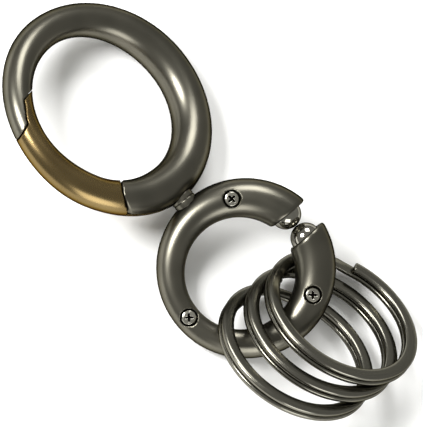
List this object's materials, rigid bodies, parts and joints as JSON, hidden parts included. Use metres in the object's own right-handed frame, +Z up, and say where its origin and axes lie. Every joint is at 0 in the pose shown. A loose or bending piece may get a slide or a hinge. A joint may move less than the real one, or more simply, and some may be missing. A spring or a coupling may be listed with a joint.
{
  "type": "swivel key chain",
  "caption": "Key chain: a round spring-gate ring joined by a swivel to a smaller C-ring closed by sprung balls, with two-turn split rings for keys threaded on the C-ring.",
  "frame": {"origin": "Middle of the box round the whole key chain, at the height of the surface it lies on", "axes": "+X runs along the swivel from the gate ring to the split rings, level to within 2.3 degrees; +Z points up from the surface; +Y is the side away from the gate"},
  "size_m": [0.0958, 0.0428, 0.0185],
  "materials": {
    "gunmetal_plate": "satin gunmetal plate on die-cast zinc alloy",
    "antique_gold_plate": "satin antique gold plate on die-cast zinc alloy",
    "nickel_plate": "bright nickel plate on steel",
    "polished_chrome": "polished chrome plate on steel",
    "spring_steel": "drawn spring wire",
    "smoked_chrome": "polished dark nickel plate on rolled spring steel"
  },
  "bodies": {
    "gate_ring": {"ring_body": "gunmetal_plate", "gate_pin": "nickel_plate", "gate_spring": "spring_steel", "swivel_stud": "nickel_plate", "swivel_collar": "gunmetal_plate"},
    "gate_arm": {"gate": "antique_gold_plate"},
    "c_ring": {"c_ring_front_shell": "gunmetal_plate", "c_ring_back_shell": "gunmetal_plate", "shell_screw_1": "nickel_plate", "shell_screw_2": "nickel_plate", "shell_screw_3": "nickel_plate", "ball_sleeve_left": "nickel_plate", "ball_sleeve_right": "nickel_plate", "ball_spring_left": "spring_steel", "ball_spring_right": "spring_steel"},
    "plunger_left": {"ball_left": "polished_chrome"},
    "plunger_right": {"ball_right": "polished_chrome"},
    "split_ring_1": {"key_ring_1": "smoked_chrome"},
    "split_ring_2": {"key_ring_2": "smoked_chrome"},
    "split_ring_3": {"key_ring_3": "smoked_chrome"}
  },
  "joints": [
    {"name": "gate_hinge", "type": "hinge", "parent": "gate_ring", "child": "gate_arm", "pos_m": [-0.01023, -0.00951, 0.01036], "axis": [-0.0388, -0.2588, -0.9651], "range_deg": [0, 35], "stiffness_Nm_per_rad": 0.05, "springref_deg": -17.19, "deforming": ["gate_spring"]},
    {"name": "swivel", "type": "hinge", "parent": "gate_ring", "child": "c_ring", "pos_m": [-0.0264, -0.0009, 0.0087], "axis": [0.9992, 0, -0.0401], "continuous": true},
    {"name": "ball_left_slide", "type": "slide", "parent": "c_ring", "child": "plunger_left", "axis": [-0.9992, 0, 0.0401], "range_m": [0, 0.001], "stiffness_N_per_m": 600, "springref_m": -0.001, "deforming": ["ball_spring_left"]},
    {"name": "ball_right_slide", "type": "slide", "parent": "c_ring", "child": "plunger_right", "axis": [0.9992, 0, -0.0401], "range_m": [0, 0.001], "stiffness_N_per_m": 600, "springref_m": -0.001, "deforming": ["ball_spring_right"]},
    {"name": "split_ring_1_swing", "type": "hinge", "parent": "c_ring", "child": "split_ring_1", "pos_m": [0.01558, -0.00546, 0.00722], "axis": [0.0187, -0.8847, 0.4659], "range_deg": [-85, 0]},
    {"name": "split_ring_2_spin", "type": "hinge", "parent": "c_ring", "child": "split_ring_2", "pos_m": [0.03196, 0.00182, 0.00915], "axis": [-0.2053, 0.4526, 0.8678], "continuous": true},
    {"name": "split_ring_3_swing", "type": "hinge", "parent": "c_ring", "child": "split_ring_3", "pos_m": [0.01699, 0.00453, 0.00583], "axis": [0.0187, -0.8847, 0.4659], "range_deg": [0, 85]}
  ]
}
